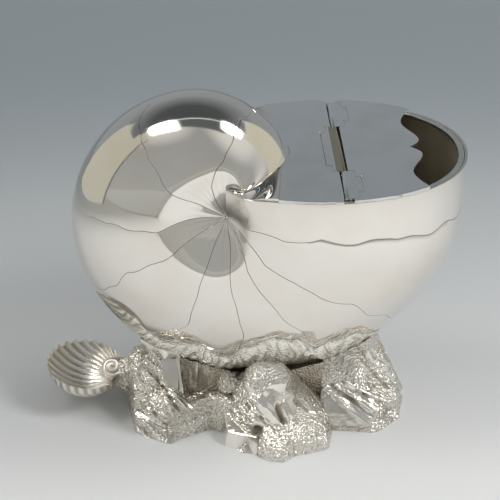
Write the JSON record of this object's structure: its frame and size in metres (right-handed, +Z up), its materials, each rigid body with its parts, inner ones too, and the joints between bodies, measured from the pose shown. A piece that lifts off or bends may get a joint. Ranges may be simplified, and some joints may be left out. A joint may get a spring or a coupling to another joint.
{
  "type": "spoon warmer",
  "caption": "Coiled nautilus-shell spoon warmer with a hinged scallop-edged lid over its mouth, cradled on hollow cast rockwork with a fluted scallop-shell handle.",
  "frame": {"origin": "on the table under the middle of the piece's overall box", "axes": "+X from the scallop handle to the mouth lip, +Y to the back, +Z up"},
  "size_m": [0.1792, 0.1028, 0.1482],
  "materials": {
    "polished_silver": "mirror-polished silver plate with faint greying",
    "lid_silver": "flat polished silver plate with fine wear",
    "worn_hinge": "plate worn towards the base metal",
    "cast_silver": "cast, chased and stippled silver plate with tarnish in the hollows",
    "handle_silver": "cast and burnished silver plate",
    "fixing_steel": "dull turned metal"
  },
  "bodies": {
    "warmer": {"shell_front": "polished_silver", "shell_back": "polished_silver", "throat_front": "polished_silver", "throat_back": "polished_silver", "cover_plate": "lid_silver", "mouth_band": "lid_silver", "cover_leaf": "worn_hinge", "hinge_pin": "worn_hinge", "saddle": "cast_silver", "rock_left": "cast_silver", "rock_front": "cast_silver", "rock_right": "cast_silver", "rock_back": "cast_silver", "rock_core": "cast_silver", "urchin": "cast_silver", "handle_dish": "handle_silver", "handle_volute": "handle_silver", "handle_neck": "handle_silver", "fixing_stud": "fixing_steel", "fixing_washer": "fixing_steel", "fixing_nut": "fixing_steel"},
    "lid": {"lid": "lid_silver", "lid_leaf": "lid_silver"}
  },
  "joints": [
    {"name": "lid_hinge", "type": "hinge", "parent": "warmer", "child": "lid", "pos_m": [0.0361, 0, 0.1207], "axis": [0, -1, 0], "range_deg": [0, 100]}
  ]
}
